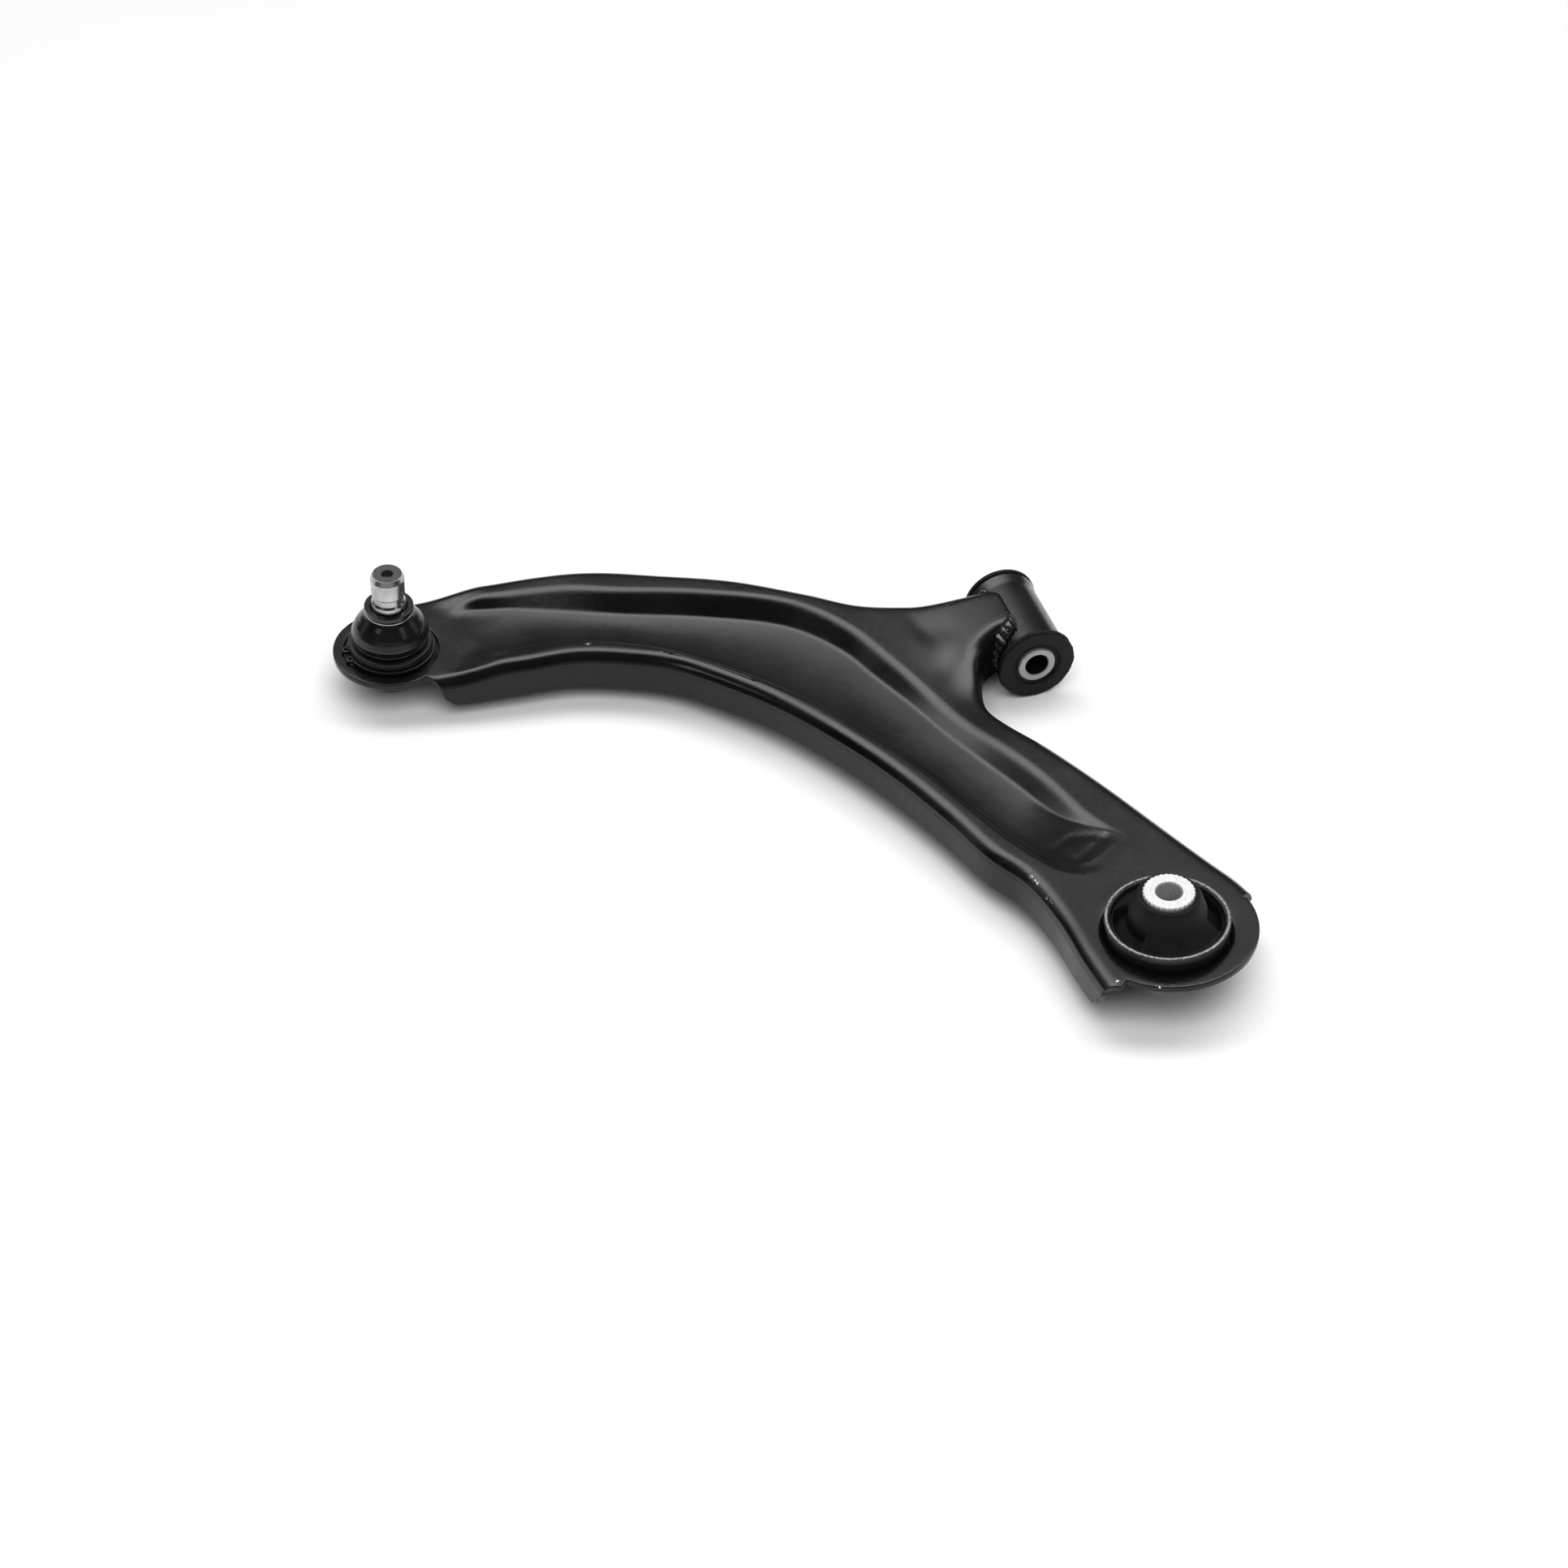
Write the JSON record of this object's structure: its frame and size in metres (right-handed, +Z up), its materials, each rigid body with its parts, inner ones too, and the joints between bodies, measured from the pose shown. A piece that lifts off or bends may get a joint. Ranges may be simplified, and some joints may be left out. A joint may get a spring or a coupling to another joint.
{
  "type": "automotive control arm",
  "caption": "Curved pressed-steel lower control arm with a ball joint at the outer end, an upright rubber bush at the rear and a lying rubber bush in a welded eye at the front.",
  "frame": {"origin": "middle of the footprint, on the surface that the arm lies on", "axes": "+X from the ball joint towards the car, +Y towards the front of the car, +Z up, along the ball stud and the rear bush's bolt; the front bush's bolt runs along Y"},
  "size_m": [0.3818, 0.4228, 0.074],
  "materials": {
    "black_coat": "satin black dip coat",
    "weld": "gloss black over a rippled bead",
    "zinc_steel": "dull zinc plate",
    "worn_steel": "bare steel, darkened",
    "spring_steel": "phosphated black",
    "machined_steel": "turned and ground",
    "bush_rubber": "matt moulded",
    "boot_rubber": "semi-gloss moulded",
    "seat_plastic": "natural"
  },
  "bodies": {
    "arm": {"arm_shell": "black_coat", "front_bush_eye": "black_coat", "eye_weld_near": "weld", "eye_weld_far": "weld", "eye_weld_under": "weld", "front_bush_outer_sleeve": "zinc_steel", "front_bush_rubber": "bush_rubber", "rear_bush_outer_sleeve": "worn_steel", "rear_bush_rubber": "bush_rubber", "ball_joint_housing": "black_coat", "ball_joint_cap": "black_coat", "ball_joint_circlip": "spring_steel", "ball_seat_upper": "seat_plastic", "ball_seat_lower": "seat_plastic", "boot_lower_ring": "spring_steel"},
    "front_bush_sleeve": {"front_bush_inner_sleeve": "zinc_steel"},
    "rear_bush_sleeve": {"rear_bush_inner_sleeve": "zinc_steel"},
    "boot": {"dust_boot": "boot_rubber"},
    "boot_ring": {"boot_upper_ring": "machined_steel"},
    "stud": {"ball_stud": "machined_steel"}
  },
  "joints": [
    {"name": "front_bush_twist", "type": "hinge", "parent": "arm", "child": "front_bush_sleeve", "pos_m": [0.1556, 0.08398, 0.0213], "axis": [0, 1, 0], "range_deg": [-16, 16], "stiffness_Nm_per_rad": 60},
    {"name": "rear_bush_tilt", "type": "hinge", "parent": "arm", "child": "rear_bush_sleeve", "pos_m": [0.139, -0.16887, 0.0303], "axis": [0, 1, 0], "range_deg": [-16, 16], "stiffness_Nm_per_rad": 60, "deforming": ["rear_bush_rubber"]},
    {"name": "ball_joint_tilt_x", "type": "hinge", "parent": "arm", "child": "boot", "pos_m": [-0.1604, 0.17513, 0.0165], "axis": [1, 0, 0], "range_deg": [-16, 16], "deforming": ["dust_boot"]},
    {"name": "ball_joint_tilt_y", "type": "hinge", "parent": "boot", "child": "boot_ring", "pos_m": [-0.1604, 0.17513, 0.0165], "axis": [0, 1, 0], "range_deg": [-16, 16]},
    {"name": "ball_stud_spin", "type": "hinge", "parent": "boot_ring", "child": "stud", "pos_m": [-0.1604, 0.17513, 0.0165], "axis": [0, 0, 1], "continuous": true}
  ]
}
